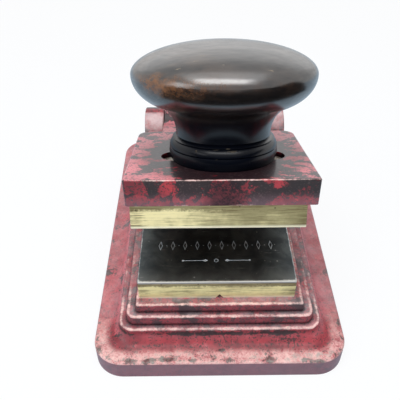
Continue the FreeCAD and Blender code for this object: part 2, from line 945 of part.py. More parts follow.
def knob():
    """One wood turning, bored from below for its brass insert and the bolt's tip."""
    turning = Part.Face(knob_outline()).revolve(Vector(0, 0, 0), Z_AXIS, 360)
    insert_end = knob_insert_start + knob_insert_length
    turning = turning.cut([
        upright_cylinder(knob_insert_radius() + snug, 0, 0, -cut_margin, insert_end + snug),
        upright_cylinder(knob_bolt_radius + shank_play, 0, 0, 0, insert_end + knob_bore_runout),
    ])
    turning.translate(Vector(knob_axis_x, knob_y, plate_top))
    return swing_open(turning)


def knob_insert():
    """Threaded brass insert that the bolt draws on."""
    bottom = plate_top + knob_insert_start
    top = bottom + knob_insert_length
    sleeve = upright_cylinder(knob_insert_radius(), knob_axis_x, knob_y, bottom, top)
    bore = upright_cylinder(
        knob_bolt_radius + snug, knob_axis_x, knob_y, bottom - cut_margin, top + cut_margin
    )
    return swing_open(sleeve.cut(bore))


def knob_bolt():
    """Bolt from the plate's underside up into the knob's insert."""
    seat = knob_washer_seat() - knob_washer_thickness
    tip = plate_top + knob_insert_start + knob_insert_length
    bolt = cheese_head_screw(
        knob_axis_x,
        knob_y,
        seat,
        tip,
        knob_bolt_radius,
        knob_bolt_head_radius,
        knob_bolt_head_height,
    )
    return swing_open(bolt)


def knob_washer():
    top = knob_washer_seat()
    bottom = top - knob_washer_thickness
    disc = upright_cylinder(knob_washer_radius, knob_axis_x, knob_y, bottom, top)
    hole = upright_cylinder(
        knob_bolt_radius + shank_play, knob_axis_x, knob_y, bottom - cut_margin, top + cut_margin
    )
    return swing_open(disc.cut(hole))


pieces = {
    "base_casting": base_casting(),
    "hinge_pin": hinge_pin(),
    "hinge_lock_screw": hinge_lock_screw(),
    "lower_die_block": lower_die_block(),
    "lower_die_face": lower_die_face(),
    "lower_die_screws": lower_die_screws(),
    "locating_key": locating_key(),
    "leaf_spring": leaf_spring(),
    "spring_clamp": spring_clamp(),
    "spring_screws": spring_screws(),
    "stop_screw": stop_screw(),
    "stop_nut": stop_nut(),
    "arm_casting": arm_casting(),
    "hinge_bush_left": hinge_bush(-1),
    "hinge_bush_right": hinge_bush(1),
    "upper_die_block": upper_die_block(),
    "counter_pad": counter_pad(),
    "upper_die_screws": upper_die_screws(),
    "knob": knob(),
    "knob_insert": knob_insert(),
    "knob_bolt": knob_bolt(),
    "knob_washer": knob_washer(),
}

os.makedirs("parts", exist_ok=True)
for name, shape in pieces.items():
    save(shape, name)
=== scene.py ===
# %% [markdown]
# # A desk seal embosser, dressed around its CAD frame
#
# A seal embosser presses paper between two dies.  A heavy stepped base carries the lower die, an
# arm hinged at the back carries the upper one, and a broad turned knob takes the palm of the hand.
#
# Every piece already has its exact shape and place in the packed CAD model.  This script loads
# that model as a fixed frame, gives each surface the finish that the real thing has, and replaces
# the one piece that needs more than a CAD solid can say.  It is written in short cells, to be read
# in order.

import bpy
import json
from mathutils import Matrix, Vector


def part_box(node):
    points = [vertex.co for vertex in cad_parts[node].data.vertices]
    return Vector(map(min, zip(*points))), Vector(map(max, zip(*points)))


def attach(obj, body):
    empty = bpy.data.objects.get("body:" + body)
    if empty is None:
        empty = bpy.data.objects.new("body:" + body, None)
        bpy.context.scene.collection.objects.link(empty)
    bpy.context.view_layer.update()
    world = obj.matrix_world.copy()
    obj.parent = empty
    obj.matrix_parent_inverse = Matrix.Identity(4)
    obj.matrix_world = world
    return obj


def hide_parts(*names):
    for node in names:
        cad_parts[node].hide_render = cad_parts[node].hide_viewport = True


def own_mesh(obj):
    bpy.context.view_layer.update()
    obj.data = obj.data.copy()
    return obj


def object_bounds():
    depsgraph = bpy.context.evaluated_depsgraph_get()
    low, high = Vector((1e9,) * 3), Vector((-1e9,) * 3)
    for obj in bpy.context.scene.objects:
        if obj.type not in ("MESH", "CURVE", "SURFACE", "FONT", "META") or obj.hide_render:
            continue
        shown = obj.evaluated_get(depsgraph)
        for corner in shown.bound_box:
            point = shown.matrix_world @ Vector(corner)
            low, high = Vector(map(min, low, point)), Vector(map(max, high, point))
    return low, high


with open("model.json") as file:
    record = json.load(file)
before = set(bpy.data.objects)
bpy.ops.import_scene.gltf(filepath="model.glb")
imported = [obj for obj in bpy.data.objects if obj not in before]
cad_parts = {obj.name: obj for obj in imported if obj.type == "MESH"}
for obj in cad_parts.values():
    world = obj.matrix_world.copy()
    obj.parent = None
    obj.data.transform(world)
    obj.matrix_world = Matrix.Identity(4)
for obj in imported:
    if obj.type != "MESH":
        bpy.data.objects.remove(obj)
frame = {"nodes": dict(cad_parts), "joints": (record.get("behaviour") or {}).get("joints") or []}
cad_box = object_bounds()

# %% Tools and units
import json
import math
from collections import namedtuple

import bpy
import bmesh
import numpy as np
from mathutils import Color, Matrix, Vector

MM = 0.001
nodes = frame["nodes"]
scene = bpy.context.scene


def in_mm(length):
    """Length in millimetres, rounded for printing."""
    return round(float(length) / MM, 1)


def add_object(name, data):
    """New object of the given name, linked into the scene."""
    made = bpy.data.objects.new(name, data)
    scene.collection.objects.link(made)
    return made


print("bare frame is", in_mm(cad_box[1].z - cad_box[0].z), "mm tall")

# %% [markdown]
# ## Measuring the frame
#
# The arm is stored open, so its plate, die and knob all lean back.  Most of what follows is easier
# to say with the arm laid down, where its top is level and the knob's axis is upright.  The lean
# could be typed in, but the joint already knows it.  One matrix turns an open point about the hinge
# into a laid one.

# %% The hinge and the arm's lean
hinge = frame["joints"][0]
hinge_place = Vector(hinge["pos_m"])
lean = math.radians(hinge["range_deg"][1])
lay_down = (
    Matrix.Translation(hinge_place)
    @ Matrix.Rotation(lean, 4, "X")
    @ Matrix.Translation(-hinge_place)
)
print("arm leans", round(math.degrees(lean), 1), "degrees, hinge", in_mm(hinge_place.z), "mm up")


# %% Boxes of laid pieces
def laid_box(node):
    """Lowest and highest corner of one of the arm's pieces, with the arm laid down."""
    places = np.array([lay_down @ vertex.co for vertex in nodes[node].data.vertices])
    return Vector(places.min(0)), Vector(places.max(0))


arm_low, arm_high = laid_box("arm_casting")
knob_low, knob_high = laid_box("knob")
knob_axis = (knob_low + knob_high) / 2
plate_top = knob_low.z
plate_underside = laid_box("upper_die_block")[1].z
print("laid plate from", in_mm(plate_underside), "to", in_mm(plate_top), "mm")

# %% [markdown]
# ## The treads of the base
#
# The base is a stack of treads, and paint wears thin along their edges.  Where those edges run
# could be copied from a drawing, but would be wrong as soon as the casting changed.  So each
# tread's height and reach are read off the casting itself, from the faces that look straight up.


# %% Level faces of a casting
def level_faces(node):
    """Height of each level face of a node, with how far its corners reach along X and Y."""
    straight_up = 0.999
    just_over_floor = 1 * MM
    mesh = nodes[node].data
    reach = {}
    for face in mesh.polygons:
        if face.normal.z > straight_up and face.center.z > just_over_floor:
            places = [mesh.vertices[index].co for index in face.vertices]
            spread = reach.setdefault(round(face.center.z / MM, 1) * MM, [])
            spread += [(abs(place.x), abs(place.y)) for place in places]
    return {height: tuple(np.max(spread, axis=0)) for height, spread in sorted(reach.items())}


base_levels = level_faces("base_casting")
print("the base has", len(base_levels), "level heights")

# %% The treads of the base
Tread = namedtuple("Tread", "height half_width half_depth corner")

# The ears' tops and the floors of screw holes don't reach this far along both axes together.
least_reach = 80 * MM
# Radius of each tread's corners in plan, from the rim up.
plan_corners = (11 * MM, 5.5 * MM, 3.2 * MM, 0.6 * MM)

tread_levels = [
    (height, half_width, half_depth)
    for height, (half_width, half_depth) in base_levels.items()
    if half_width + half_depth > least_reach
]
treads = [
    Tread(*level, corner) for level, corner in zip(tread_levels, plan_corners, strict=True)
]
rim, lower_step = treads[:2]
pad = treads[-1]
for tread in treads:
    print("tread", in_mm(tread.height), "mm up reaches", in_mm(tread.half_width), "mm sideways")

# %% [markdown]
# ## A small kit for finishes
#
# Blender builds a finish as a web of nodes.  Written out one node at a time, that web is long and
# hard to follow, so three small classes stand between it and the recipes below.  A Wire is a value
# that changes over the surface.  Adding or multiplying wires adds the Math nodes that do so.  A Web
# is the tree that nodes are added to, and its node method makes any other node.  A Finish is the
# web of one material, with the place on the object and the few patterns that the recipes share.


# %% Colours as a paint chart gives them
def paint(red, green, blue):
    """Colour for a socket, from the 0 to 255 values of a paint chart."""
    chart = Color((red / 255, green / 255, blue / 255))
    return (*chart.from_srgb_to_scene_linear(), 1.0)


WHITE = paint(255, 255, 255)
print("white of the chart:", [round(value, 3) for value in WHITE])


# %% Wire: a value that changes over the surface
class Wire:
    """A node's output, with arithmetic that adds Math nodes to the same web."""

    def __init__(self, web, socket):
        self.web = web
        self.socket = socket

    def twin(self, output):
        """Another output of the same node."""
        return Wire(self.web, self.socket.node.outputs[output])

    def math(self, operation, *values):
        """Result of a Math node on wires or plain numbers."""
        return self.web.node("Math", {"operation": operation}, values)

    def __add__(self, other):
        return self.math("ADD", self, other)

    def __radd__(self, other):
        return self.math("ADD", other, self)

    def __sub__(self, other):
        return self.math("SUBTRACT", self, other)

    def __rsub__(self, other):
        return self.math("SUBTRACT", other, self)

    def __mul__(self, other):
        return self.math("MULTIPLY", self, other)

    def __rmul__(self, other):
        return self.math("MULTIPLY", other, self)

    def __abs__(self):
        return self.math("ABSOLUTE", self)

    def at_least(self, other):
        """The larger of this and another value."""
        return self.math("MAXIMUM", self, other)

    def at_most(self, other):
        """The smaller of this and another value."""
        return self.math("MINIMUM", self, other)

    def power(self, exponent):
        """This value to a power."""
        return self.math("POWER", self, exponent)

    def rise(self, start, end):
        """0 at start, 1 at end, and an easy curve between them, whichever is larger."""
        return self.web.node(
            "MapRange",
            {"interpolation_type": "SMOOTHSTEP"},
            {"Value": self, "From Min": start, "From Max": end},
        )


print("a wire knows", ", ".join(name for name in vars(Wire) if name[0] != "_"))


# %% Web: a tree that nodes are added to
class Web:
    """The node tree of a material or of the world."""

    def __init__(self, tree):
        self.tree = tree

    def feed(self, socket, value):
        """Link a wire to a socket, or set a plain value on it."""
        if isinstance(value, Wire):
            self.tree.links.new(value.socket, socket)
        else:
            socket.default_value = value

    def node(self, kind, settings=None, values=(), output=0):
        """Add a node of any kind, and return one of its outputs as a wire.

        Its settings are made first, because they can change which sockets it has.
        """
        made = self.tree.nodes.new("ShaderNode" + kind)
        for name, value in (settings or {}).items():
            setattr(made, name, value)
        pairs = values.items() if isinstance(values, dict) else enumerate(values)
        for place, value in pairs:
            self.feed(made.inputs[place], value)
        return Wire(self, made.outputs[output])


print("a web knows", ", ".join(name for name in vars(Web) if name[0] != "_"))


# %% Finish: the web of one material
class Finish(Web):
    """A material being built, with its shader and the place on the object."""

    def __init__(self, name, laid=False, **constants):
        self.material = bpy.data.materials.new(name)
        self.material.use_nodes = True
        super().__init__(self.material.node_tree)
        self.shader = self.tree.nodes["Principled BSDF"]
        self.set(**constants)
        self.place = self.node("TexCoord", output="Object")
        facing = self.place.twin("Normal")
        if laid:
            self.place = self.lay(self.place, hinge_place)
            facing = self.lay(facing, Vector((0, 0, 0)))
        self.x, self.y, self.z = self.parts_of(self.place)
        self.up = self.parts_of(facing)[2]

    def __str__(self):
        return f"{self.material.name} with {len(self.tree.nodes)} nodes"

    def set(self, **channels):
        """Feed the shader's sockets, whose names have a _ for each space here."""
        for name, value in channels.items():
            self.feed(self.shader.inputs[name.replace("_", " ")], value)

    def lay(self, vector, centre):
        """A place or direction on the open arm, turned to where the laid arm has it."""
        turn = {"Vector": vector, "Center": centre, "Angle": lean}
        return self.node("VectorRotate", {"rotation_type": "X_AXIS"}, turn)

    def parts_of(self, vector):
        """The three numbers of a vector or colour."""
        split = self.node("SeparateXYZ", {}, [vector])
        return split, split.twin("Y"), split.twin("Z")

    def drawn_out(self, along_x=1.0, along_y=1.0, along_z=1.0):
        """The place, squeezed so that a pattern on it is drawn out along each axis."""
        squeeze = (1 / along_x, 1 / along_y, 1 / along_z)
        return self.node("VectorMath", {"operation": "MULTIPLY"}, [self.place, squeeze])

    def noise(self, size, seed, detail=3.0, roughness=0.6, swirl=0.0, place=None):
        """Cloudy pattern from 0 to 1 whose blots are about the given size in metres."""
        sockets = {
            "Vector": place or self.place,
            "W": seed,
            "Scale": 1 / size,
            "Detail": detail,
            "Roughness": roughness,
            "Distortion": swirl,
        }
        return self.node("TexNoise", {"noise_dimensions": "4D"}, sockets)

    def flecks(self, size, seed, share, place=None):
        """Scattered flecks: of the cells of the given size, this share holds one each."""
        sockets = {"Vector": place or self.place, "W": seed, "Scale": 1 / size}
        from_middle = self.node("TexVoronoi", {"voronoi_dimensions": "4D"}, sockets)
        lot = self.parts_of(from_middle.twin("Color"))[0]
        core, edge = 0.2, 0.36
        holds_one = lot.rise(share, share - 0.02)
        return from_middle.rise(edge, core) * holds_one

    def mix(self, share, first, second):
        """Colour that goes from the first to the second as the share goes from 0 to 1."""
        # A Mix node has sockets of the same name for numbers, vectors and colours.  Those for
        # colours are inputs 6 and 7 and output 2.
        return self.node("Mix", {"data_type": "RGBA"}, {0: share, 6: first, 7: second}, output=2)

    def bump(self, height, distance, strength):
        """Normal of a surface whose relief is height times distance in metres."""
        sockets = {"Height": height, "Distance": distance, "Strength": strength}
        return self.node("Bump", {}, sockets)


print("a finish knows", ", ".join(name for name in vars(Finish) if name[0] != "_"))


# %% Helpers for where on the object a mark falls
def larger(first, *others):
    """The largest of some wires."""
    for other in others:
        first = first.at_least(other)
    return first


def near(value, width):
    """1 where the value is zero, fading to 0 at the given width on either side."""
    return abs(value).rise(width, 0.0)


def distance(x, y):
    """How far away a point is that lies x to one side and y along."""
    return (x * x + y * y).power(0.5)


def outside_of(finish, tread):
    """Distance outside a tread's rounded outline in plan, negative inside it."""
    over_x = abs(finish.x) - (tread.half_width - tread.corner)
    over_y = abs(finish.y) - (tread.half_depth - tread.corner)
    outside = distance(over_x.at_least(0.0), over_y.at_least(0.0))
    return outside + larger(over_x, over_y).at_most(0.0) - tread.corner


print("helpers ready")

# %% [markdown]
# ## Mottled enamel
#
# The castings were enamelled crimson and then mottled by hand with black, like tortoiseshell, and
# decades of use have rubbed the edges pale.  An image could be wrapped around the casting, but a
# pattern computed from the place on the object has no seams and follows every step.
#
# The recipe is laid down in the order of the real thing, one function for each layer.  First comes
# the red, uneven where it was brushed, and then torn blots of black with a spray of fine specks
# around them.  On those lie the pale film of faces that look up, partly a painted sheen, and
# painted shade, purple on walls and dark in corners.  Last come the scuffs and the rubbed arrises.
# Where the marks fall differs between base and arm, so each says so in a function of its own.

# %% Enamel colours
CRIMSON = paint(160, 47, 57)
DEEP_CRIMSON = paint(110, 30, 41)
ROSE = paint(184, 96, 104)
VERMILION = paint(206, 66, 60)
# Rose for faded red, also laid on the base as a painted sheen.
FADED_AND_SHEEN_ROSE = paint(222, 118, 128)
LAMP_BLACK = paint(20, 19, 23)
WORN_BLACK = paint(66, 56, 57)
# Pale film on faces that look up, partly a painted sheen.
PALE_FILM_AND_SHEEN = paint(196, 178, 182)
# Purple of painted shade on upright walls.
WALL_SHADE_PURPLE = paint(128, 102, 111)
# Dark of painted shade in corners and recesses.
CORNER_SHADE = paint(34, 20, 27)
RUBBED_PINK = paint(240, 204, 198)
BARE_GREY = paint(148, 152, 146)
print("crimson is", [round(value, 3) for value in CRIMSON[:3]])

# %% Kinds of marks
# How strongly each kind shows at a place, as a wire or a plain share from 0 to about 1:
# reddened  spots worn to a brighter red
# blotted   torn blots of black
# peppered  a spray of fine black specks
# faded  red bleached to rose, and on the base also a painted sheen
# filmed   the pale film of faces that look up, partly a painted sheen
# dulled  painted shade: purple on upright walls
# dirty     painted shade: dark in corners and recesses
# scuffed   broad pale rubbing, grey where it crosses black
# rubbed    paint worn off along the arrises
Marks = namedtuple("Marks", "reddened blotted peppered faded filmed dulled dirty scuffed rubbed")
print("kinds of marks:", ", ".join(Marks._fields))


# %% Patterns that the layers share, so that they break up together
Patterns = namedtuple("Patterns", "clouds brushed crumbs grit")


def enamel_patterns(finish):
    """Noises from broad to fine."""
    return Patterns(
        clouds=finish.noise(18 * MM, seed=6.2, detail=4),
        brushed=finish.noise(4 * MM, seed=8.1, detail=5, roughness=0.65),
        crumbs=finish.noise(1.6 * MM, seed=2.3, detail=3, roughness=0.7),
        grit=finish.noise(0.8 * MM, seed=5.5, detail=1, roughness=0.6),
    )


print("patterns:", ", ".join(Patterns._fields))


# %% The red coat
def red_coat(finish, patterns, marks, worn_red):
    """Colour of the red: deep where it was laid thick, with bright worn spots, faded to rose, and
    rose where a sheen is painted.
    """
    clouds, brushed, crumbs, grit = patterns
    thin = (clouds * 0.5 + brushed * 0.5).rise(0.38, 0.6)
    spots = (brushed * 0.5 + crumbs * 0.5).rise(0.52, 0.66)
    # Rose where the red has faded, and where a sheen is painted on the base.
    bleached_and_sheen = marks.faded * (0.3 + clouds + grit * 0.4)
    colour = finish.mix(thin, DEEP_CRIMSON, CRIMSON)
    colour = finish.mix(spots * marks.reddened, colour, worn_red)
    return finish.mix(bleached_and_sheen.at_most(1), colour, FADED_AND_SHEEN_ROSE)


print("red coat ready")

# %% The black mottling
Mottling = namedtuple("Mottling", "black pepper specks")


def mottling(finish, patterns, marks, colour, blot_size, drawn_out):
    """The colour with its black on it, and where the blots, the pepper and the specks are."""
    _, _, crumbs, grit = patterns
    blots = finish.noise(
        blot_size,
        seed=3.1,
        detail=3,
        roughness=0.5,
        swirl=0.7,
        place=finish.drawn_out(*drawn_out),
    )
    torn = blots + (crumbs - 0.5) * 0.3 + (grit - 0.5) * 0.2
    black_from = 0.69
    excess = torn + marks.blotted * 0.3 - black_from
    black = excess.rise(-0.04, 0.04)
    pepper = finish.flecks(1.3 * MM, seed=4.7, share=0.5) * crumbs.rise(0.42, 0.56)
    specks = (grit + (crumbs - 0.5) * 0.6 + excess * 0.2).rise(0.54, 0.6)
    dark = larger(black * 0.97, pepper * 0.75, specks * marks.peppered)
    soot = finish.mix((crumbs * 0.4 + grit * 0.6).rise(0.5, 0.7), LAMP_BLACK, WORN_BLACK)
    return finish.mix(dark, colour, soot), Mottling(black, pepper, specks)


print("mottling ready")


# %% Film and painted sheen, and painted shade on walls and in corners
def film_sheen_and_shade(finish, patterns, marks, colour):
    """The colour under its film and painted sheen and its painted shade, and how dark the corner
    shade is.
    """
    _, brushed, crumbs, grit = patterns
    patchy = finish.noise(6 * MM, seed=9.9, detail=4).rise(0.35, 0.65)
    # The film is partly a painted sheen; the purple and the dark are painted shade.
    film_and_sheen_share = marks.filmed * (0.35 + patchy * 0.65) * (0.5 + crumbs)
    wall_shade = marks.dulled * (0.3 + brushed * 0.5 + grit * 0.4)
    corner_shade_amount = marks.dirty * (0.2 + crumbs + grit * 0.6)
    colour = finish.mix(film_and_sheen_share.at_most(0.9), colour, PALE_FILM_AND_SHEEN)
    colour = finish.mix(wall_shade, colour, WALL_SHADE_PURPLE)
    return finish.mix(corner_shade_amount.at_most(0.95), colour, CORNER_SHADE), corner_shade_amount


print("grime ready")


# %% Scuffs and rubbed arrises
def wear(finish, patterns, marks, colour, black, specks, worn_red):
    """The colour with its rubbed places laid bare, and how far each place is rubbed."""
    clouds, brushed, crumbs, grit = patterns
    texture = crumbs * 0.7 + grit * 0.6 + brushed * 0.4
    scuffs = (brushed * 0.7 + texture * 0.8 - specks * 0.3).rise(0.52, 1.02)
    scuffs = marks.scuffed * scuffs * (1 - black * 0.7)
    uneven = texture * 0.8 + brushed * 1.2 + clouds * 0.8
    chipped_from = 1.68
    chips = (marks.rubbed * 0.9 + uneven - chipped_from).rise(0.25, 0.95)
    chips = chips * marks.rubbed.rise(0.05, 0.4)
    rubbed = larger(scuffs, chips)

    pale = (brushed * 0.4 + texture * 0.7 + marks.rubbed * 0.2).rise(0.5, 1.0)
    bare = (rubbed * 0.5 + clouds * 0.5 + crumbs * 0.3).rise(0.88, 0.96)
    greyed = black * marks.scuffed * (brushed * 0.5 + crumbs * 0.5).rise(0.42, 0.6)
    colour = finish.mix(rubbed * 0.92, colour, finish.mix(pale, worn_red, RUBBED_PINK))
    return finish.mix(larger(bare * 0.7, greyed * 0.6), colour, BARE_GREY), rubbed


print("wear ready")


# %% The enamel, layer on layer
def enamel(name, laid, blot_size, drawn_out, coat, coat_roughness, worn_red, marks_of):
    """Mottled enamel under a clear coat, with the marks that marks_of places."""
    finish = Finish(
        name,
        laid,
        Specular_IOR_Level=0.15,
        Coat_Roughness=coat_roughness,
        Coat_IOR=1.5,
    )
    marks = marks_of(finish)
    patterns = enamel_patterns(finish)
    _, brushed, crumbs, grit = patterns

    colour = red_coat(finish, patterns, marks, worn_red)
    colour, mottle = mottling(finish, patterns, marks, colour, blot_size, drawn_out)
    black, pepper, specks = mottle
    colour, corner_shade_amount = film_sheen_and_shade(finish, patterns, marks, colour)
    colour, rubbed = wear(finish, patterns, marks, colour, black, specks, worn_red)

    coat_lost = rubbed * 0.4 + corner_shade_amount * 0.4 + specks * 0.15 + marks.dulled * 0.2
    relief = brushed * 0.4 + crumbs * 0.35 + grit * 0.3 - pepper * 0.2 - rubbed * 0.2
    finish.set(
        Base_Color=colour,
        Roughness=0.42 + brushed * 0.16 + rubbed * 0.12,
        Coat_Weight=(coat - coat_lost).at_least(0.1),
        Normal=finish.bump(relief, 0.18 * MM, 0.6),
    )
    return finish


print("enamel ready")


# %% Edges and corners of the treads
def tread_edges(finish, outlines):
    """Along each tread's outer arris above the rim, and along the foot of each upper tread."""
    arrises = [
        near(outline + 0.25 * MM, 1.45 * MM) * near(finish.z - tread.height, 1.0 * MM)
        for tread, outline in zip(treads[1:], outlines[1:])
    ]
    corners = [
        near(outline - 0.5 * MM, 1.5 * MM) * near(finish.z - below.height, 1.6 * MM)
        for below, outline in zip(treads[1:], outlines[2:])
    ]
    return larger(*arrises), larger(*corners)


print("tread edges ready")


# %% Marks on the base
def base_marks(finish):
    """Rubbed arrises and painted shade in the corners on each tread, a scuffed band along the rim,
    and painted sheen and wall shade.
    """
    outlines = [outside_of(finish, tread) for tread in treads]
    arrises, corners = tread_edges(finish, outlines)
    top_facing = finish.up.rise(0.5, 0.95)
    side_facing = finish.up.rise(0.7, 0.2)

    # How far along the base, from the front edge of the rim's tread.
    from_front = finish.y + rim.half_depth
    to_front = from_front.rise(29 * MM, 1 * MM)
    front_end = from_front.rise(31 * MM, 17 * MM)
    behind_front = from_front.rise(13 * MM, 27 * MM)

    # The rim: rubbed most at the front, with a broken black line along its edge.
    over_rim = finish.z - rim.height
    band = outlines[0].rise(-6 * MM, -2.5 * MM) * (0.1 + to_front * 0.9)
    band = band * over_rim.rise(2 * MM, 0.4 * MM) * over_rim.rise(-1.2 * MM, -0.7 * MM)
    rim_line = near(outlines[0] + 0.1 * MM, 2.2 * MM) * near(over_rim + 0.4 * MM, 1.8 * MM)
    # Painted sheen along the level rim at the sides and back.
    side_rim_sheen = over_rim.rise(3 * MM, 1 * MM) * top_facing * behind_front
    # Painted shade: purple on the rim's upright wall.
    shaded_wall = side_facing * over_rim.rise(-0.6 * MM, -1.1 * MM)

    # The cove between the rim and the lower step: a painted sheen halfway up, and more black under
    # the step as painted shade.
    mid_cove = (rim.height + lower_step.height) / 2
    sheen = near(finish.z - mid_cove, 4 * MM) * finish.up.rise(0.95, 0.7) * (1 - to_front)
    under_step = near(finish.z - lower_step.height + 2 * MM, 2.6 * MM) * side_facing

    # The treads over the cove, and the two ears that hold the hinge.
    over_pad = finish.z - pad.height
    behind_hinge = finish.y - hinge_place.y
    ear = over_pad.rise(4 * MM, 8 * MM)
    crest = ear * behind_hinge.rise(0.8 * MM, 2.4 * MM) * finish.up.rise(0.3, 0.6)
    ear_rub = ear * behind_hinge.rise(-1.0 * MM, -3.0 * MM) * finish.up.rise(0.2, 0.6)
    raised = finish.z.rise(lower_step.height - 1.5 * MM, lower_step.height) * (1 - ear)
    riser = side_facing * raised * over_pad.rise(1 * MM, 0.0)

    blotted = larger(
        raised * 0.5,
        riser * 0.5,
        crest * 1.1,
        under_step * 0.9,
        ear * 0.3,
        rim_line * (0.72 - behind_front * 0.4),
    )
    # The pale film is partly a painted sheen, on the treads, the cove and the side rim.
    filmed = larger(
        top_facing * (0.02 + raised * 0.38),
        sheen * 0.35,
        side_rim_sheen * 0.3,
        ear_rub,
    )
    return Marks(
        reddened=0.5,
        blotted=blotted.at_least(0.1),
        peppered=0.85 + raised * 0.1 - side_rim_sheen * 0.35,
        # Rose of a painted sheen on the cove and side rim.
        faded=larger(sheen * 0.7, side_rim_sheen * 0.25),
        filmed=filmed,
        # Painted shade on the rim's wall and, fainter, on the risers.
        dulled=larger(shaded_wall, riser * 0.35),
        # Painted shade in the corners at the foot of each upper tread.
        dirty=corners * 0.8,
        scuffed=larger(band, ear_rub * 0.35),
        rubbed=arrises * (0.42 + front_end * 0.4),
    )


base_enamel = enamel(
    "enamel_of_the_base",
    laid=False,
    blot_size=6.5 * MM,
    drawn_out=(1.3, 1.0, 1.0),
    coat=0.52,
    coat_roughness=0.35,
    worn_red=ROSE,
    marks_of=base_marks,
)
print("made", base_enamel)


# %% Marks on the arm
def arm_marks(finish):
    """Black around the knob's foot, partly a painted shadow of it, and along the front, with
    chipped arrises round the plate.
    """
    from_front = finish.y - arm_low.y
    from_side = abs(finish.x) - arm_high.x
    over_plate = finish.z - plate_top
    from_knob = distance(finish.x - knob_axis.x, finish.y - knob_axis.y)
    top_facing = finish.up.rise(0.5, 0.95)
    front_facing = from_front.rise(1.2 * MM, 0.5 * MM)
    upper_front = front_facing * over_plate.rise(-12 * MM, -5 * MM)
    # More black around the knob's foot, partly a painted shadow of the knob.
    around_knob_blots_and_shadow = top_facing * from_knob.rise(38 * MM, 24 * MM)
    counterbores = over_plate.rise(-0.2 * MM, -0.8 * MM) * from_knob.rise(28 * MM, 26 * MM)

    top_front = near(from_front, 0.8 * MM) * near(over_plate, 0.7 * MM)
    top_side = near(from_side, 1.0 * MM) * near(over_plate, 1.0 * MM)
    front_side = near(from_side, 1.0 * MM) * near(from_front, 1.2 * MM)
    lower_front = near(from_front, 1.2 * MM) * near(finish.z - plate_underside, 0.9 * MM)
    return Marks(
        reddened=0.5 + upper_front * 0.5,
        blotted=larger(around_knob_blots_and_shadow * 1.05, top_facing * 0.5, upper_front * 0.78).at_least(0.46),
        peppered=0.55 + front_facing * 0.4,
        faded=top_facing * from_knob.rise(26 * MM, 36 * MM) * 0.8,
        filmed=top_facing * from_knob.rise(28 * MM, 38 * MM) * 0.08,
        # Painted shade: purple on the lower part of the front.
        dulled=front_facing * over_plate.rise(-4 * MM, -10 * MM) * 0.65,
        # Painted shade in the screws' counterbores.
        dirty=counterbores * 0.9,
        scuffed=0.0,
        rubbed=larger(top_front * 0.9, top_side * 0.7, front_side * 0.6, lower_front * 0.6),
    )


arm_enamel = enamel(
    "enamel_of_the_arm",
    laid=True,
    blot_size=6 * MM,
    drawn_out=(1.2, 0.9, 1.4),
    coat=0.66,
    coat_roughness=0.2,
    worn_red=VERMILION,
    marks_of=arm_marks,
)
print("made", arm_enamel)

# %% [markdown]
# ## Brass
#
# The die blocks are brass, machined along their length and never lacquered, so they carry fine
# streaks and have tarnished unevenly: sooty along the joint at their top, and bright along their
# lower arris with polish and a painted highlight.  Painted shade darkens them towards the right.  A
# single tinted metal would look like plastic, so streaks and clouds shift both the colour and the
# gloss.  Tarnish is a dull salt on the metal, so neither block is wholly metallic, and the lower
# one is the duller.

# %% Brass colours
TARNISH = paint(146, 138, 100)
BRASS_STAIN = paint(104, 90, 58)
SOOT_SPOT = paint(40, 35, 30)
# Near-white brass of the lower arris, polish with a painted highlight.
POLISHED_BRASS_HIGHLIGHT = paint(255, 250, 222)
print("tarnish is", [round(value, 3) for value in TARNISH[:3]])


# %% Brass
def brass(name, node, laid, clean, metallic, shade_to_right):
    """Machined brass, sooty at the top of the node, darker to the right with painted shade, and
    bright at its lower arris with polish and a painted highlight.
    """
    finish = Finish(name, laid, Metallic=metallic)
    low, high = laid_box(node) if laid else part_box(node)
    half_width = (high.x - low.x) / 2
    from_middle = finish.x - (low.x + half_width)
    hairlines = finish.noise(0.22 * MM, seed=1.2, detail=2, place=finish.drawn_out(28, 28, 1))
    bands = finish.noise(1.0 * MM, seed=2.9, detail=4, place=finish.drawn_out(16, 16, 1))
    clouds = finish.noise(9 * MM, seed=7.1, detail=4)
    crumbs = finish.noise(1.2 * MM, seed=3.7, detail=3, roughness=0.7)

    soot = (finish.z + (crumbs - 0.5) * 3 * MM).rise(high.z - 2.4 * MM, high.z - 0.4 * MM)
    front = finish.y.rise(low.y + 2 * MM, low.y + 1 * MM)
    ends = front * abs(from_middle).rise(half_width * 0.7, half_width)
    # Painted shade: more tarnish towards the right, away from the lamp at the left.
    to_right = front * from_middle.rise(-half_width, half_width * 0.6)
    soot_ends_and_shade = soot * 0.38 + ends * 0.03 + to_right * shade_to_right
    tarnish = (bands * 0.35 + clouds * 0.5 + hairlines * 0.25 + soot_ends_and_shade).rise(0.52, 0.86)
    lines = hairlines * 0.5 + bands * 0.5 + clouds * 0.25 + soot * 0.06 + ends * 0.08
    spots = finish.flecks(1.2 * MM, seed=5.8, share=0.35) * soot
    # Polish along the lower front arris, made brighter as a painted highlight.
    polished_highlight = near(finish.z - low.z, 1.5 * MM) * finish.y.rise(low.y + 1.5 * MM, low.y)

    colour = finish.mix(tarnish, clean, TARNISH)
    colour = finish.mix(lines.rise(0.65, 0.79) * 0.75, colour, BRASS_STAIN)
    colour = finish.mix(spots * 0.8, colour, SOOT_SPOT)
    colour = finish.mix(polished_highlight * 0.9, colour, POLISHED_BRASS_HIGHLIGHT)
    finish.set(
        Base_Color=colour,
        Roughness=0.4 + tarnish * 0.14 + hairlines * 0.1 - polished_highlight * 0.1,
        Normal=finish.bump(hairlines * 0.6 + bands * 0.5 - spots * 0.3, 0.03 * MM, 0.6),
    )
    return finish


